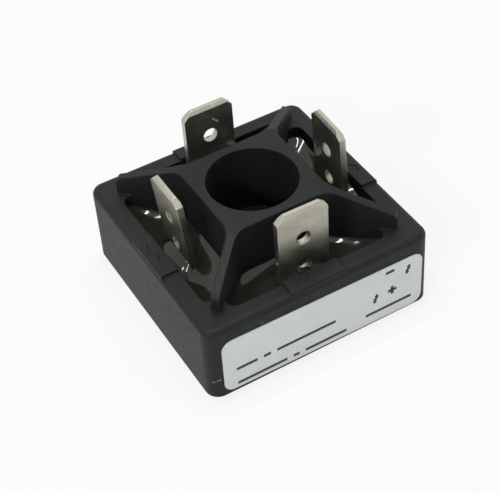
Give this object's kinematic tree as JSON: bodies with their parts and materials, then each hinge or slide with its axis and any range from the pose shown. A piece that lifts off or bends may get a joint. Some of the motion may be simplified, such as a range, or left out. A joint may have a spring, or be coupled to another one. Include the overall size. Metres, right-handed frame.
{
  "type": "bridge rectifier module",
  "caption": "Square potted bridge rectifier module with a deep central screw recess, diagonal ribs, raised rim lands and upright quick-connect tabs.",
  "frame": {"origin": "centre of the screw hole in the plane of the heat-sink face", "axes": "+Z away from the heat sink along the screw, -Y towards the side with the label and the plus tab, X across between the two AC tabs"},
  "size_m": [0.0288, 0.0289, 0.0184],
  "materials": {
    "moulded_plastic": "fine matt, glass-filled",
    "ceramic": "matt white alumina",
    "copper": "satin bare copper",
    "silicone": "satin",
    "silicon_die": "polished with a metallised top",
    "solder": "satin",
    "tinned_brass": "tin-plated, satin, bright at the bevels",
    "potting": "glossy dark brown-black casting compound",
    "label_film": "pale silver-white film"
  },
  "bodies": {
    "root": {"housing": "moulded_plastic", "ceramic_substrate": "ceramic", "base_copper": "copper", "adhesive_bead": "silicone", "track_plus": "copper", "track_minus": "copper", "track_ac_left": "copper", "track_ac_right": "copper", "diode_plus_left": "silicon_die", "diode_plus_right": "silicon_die", "diode_minus_left": "silicon_die", "diode_minus_right": "silicon_die", "clip_plus_left": "copper", "clip_plus_right": "copper", "clip_minus_left": "copper", "clip_minus_right": "copper", "chip_solder": "solder", "clip_solder": "solder", "tab_solder": "solder", "tab_plus": "tinned_brass", "tab_ac_right": "tinned_brass", "tab_minus": "tinned_brass", "tab_ac_left": "tinned_brass", "potting_compound": "potting", "label": "label_film"}
  },
  "joints": []
}
